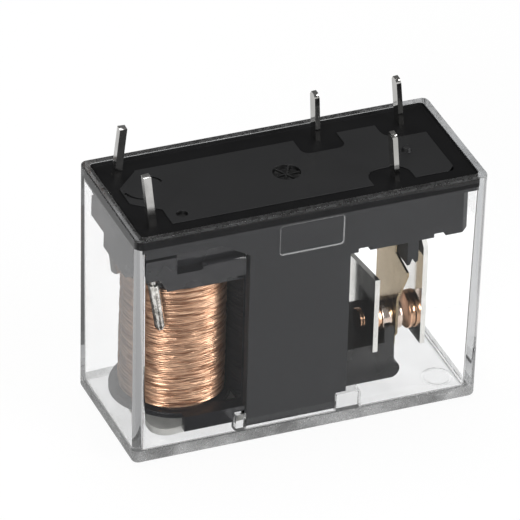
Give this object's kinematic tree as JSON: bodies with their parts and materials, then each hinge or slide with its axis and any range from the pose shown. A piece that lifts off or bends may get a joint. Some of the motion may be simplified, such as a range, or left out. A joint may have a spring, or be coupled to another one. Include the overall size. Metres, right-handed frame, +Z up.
{
  "type": "pcb power relay",
  "caption": "Sealed plug-in board relay with a clear cover, a copper coil, a hinged armature, a sliding card and a changeover contact leaf.",
  "frame": {"origin": "centre of the cover's closed end, on its outer face, with the pins pointing up", "axes": "+X from the coil end to the contact end, +Y from the front to the back, +Z up towards the pins"},
  "size_m": [0.029, 0.0124, 0.0246],
  "materials": {
    "clear_plastic": "clear polycarbonate, polished",
    "black_plastic": "black glass-filled polyester, satin",
    "black_resin": "black cast epoxy, glossy",
    "bobbin_plastic": "black polyester, semi-gloss",
    "copper_wire": "enamelled copper wire",
    "soft_iron": "nickel-plated iron",
    "spring_steel": "stainless leaf",
    "card_plastic": "black polyester, glossy",
    "tinned_pin": "solder-dipped pin",
    "tinned_strip": "tinned copper strip",
    "solder": "soldered wire turns",
    "leaf_bronze": "rolled copper alloy leaf",
    "contact_metal": "silver-faced copper rivet"
  },
  "bodies": {
    "frame": {"cover": "clear_plastic", "base": "black_plastic", "sealing_resin": "black_resin", "bobbin": "bobbin_plastic", "coil_winding": "copper_wire", "core": "soft_iron", "yoke": "soft_iron", "hinge_spring": "spring_steel", "coil_pin_front": "tinned_pin", "coil_pin_back": "tinned_pin", "coil_lead_front": "solder", "coil_lead_back": "solder", "nc_terminal": "tinned_strip", "nc_contact": "contact_metal", "com_terminal": "tinned_strip", "leaf_rivet_front": "tinned_strip", "leaf_rivet_back": "tinned_strip", "no_terminal": "tinned_strip", "no_contact": "contact_metal"},
    "armature": {"armature": "soft_iron"},
    "card": {"card": "card_plastic"},
    "moving_leaf": {"com_spring": "leaf_bronze", "com_contact": "contact_metal"}
  },
  "joints": [
    {"name": "armature_hinge", "type": "hinge", "parent": "frame", "child": "armature", "pos_m": [-0.0028, 0, 0.0022], "axis": [0, 1, 0], "range_deg": [0, 3.6], "stiffness_Nm_per_rad": 0.02},
    {"name": "card_slide", "type": "slide", "parent": "frame", "child": "card", "axis": [1, 0, 0], "range_m": [0, 0.00049]},
    {"name": "leaf_flex", "type": "hinge", "parent": "frame", "child": "moving_leaf", "pos_m": [0.0085, 0, 0.0173], "axis": [0, -1, 0], "range_deg": [0, 2.2]}
  ],
  "couplings": [
    {"joint": "card_slide", "follows": "armature_hinge", "m_per_rad": 0.007795},
    {"joint": "leaf_flex", "follows": "armature_hinge", "ratio": 0.61}
  ]
}
